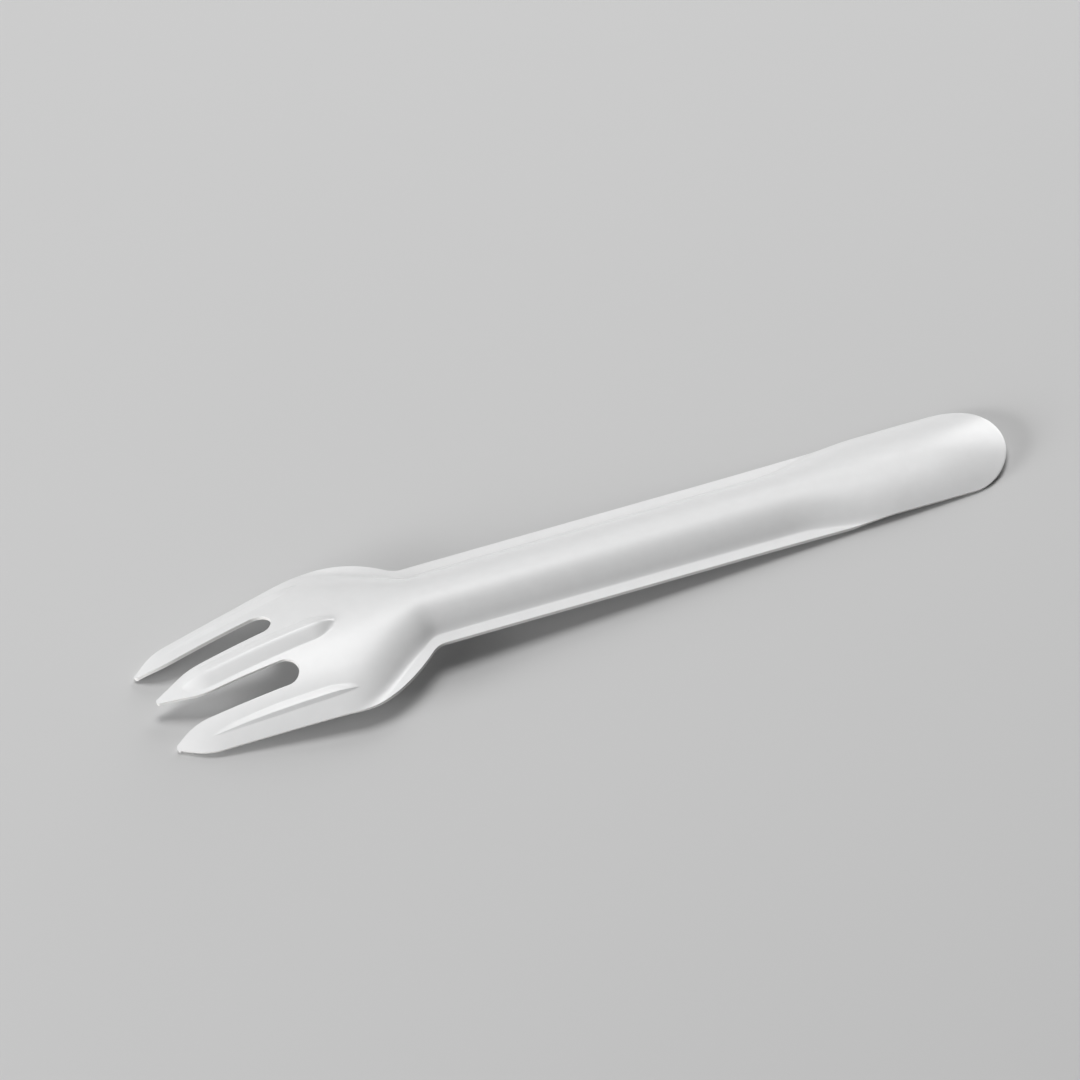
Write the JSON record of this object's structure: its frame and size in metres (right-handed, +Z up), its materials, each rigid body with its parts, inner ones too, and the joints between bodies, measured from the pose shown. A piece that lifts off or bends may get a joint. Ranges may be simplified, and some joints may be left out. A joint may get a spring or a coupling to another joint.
{
  "type": "paper fork",
  "caption": "Disposable fork pressed from laminated paperboard: pointed ridged tines on a curved head, an arched handle with flat rims, and a rounded end.",
  "frame": {"origin": "on the table under the middle of the fork, which lies back up on its outer tine tips and its tail", "axes": "+X from the tine tips towards the tail, +Y across the fork, +Z up, out of the fork's convex back"},
  "size_m": [0.1602, 0.0358, 0.0101],
  "materials": {
    "coated_board": "smooth white coated paperboard with a soft satin sheen",
    "core_board": "uncoated fibrous paperboard, seen only in the cut edge"
  },
  "bodies": {
    "root": {"back_ply": "coated_board", "core_ply": "core_board", "face_ply": "coated_board"}
  },
  "joints": []
}
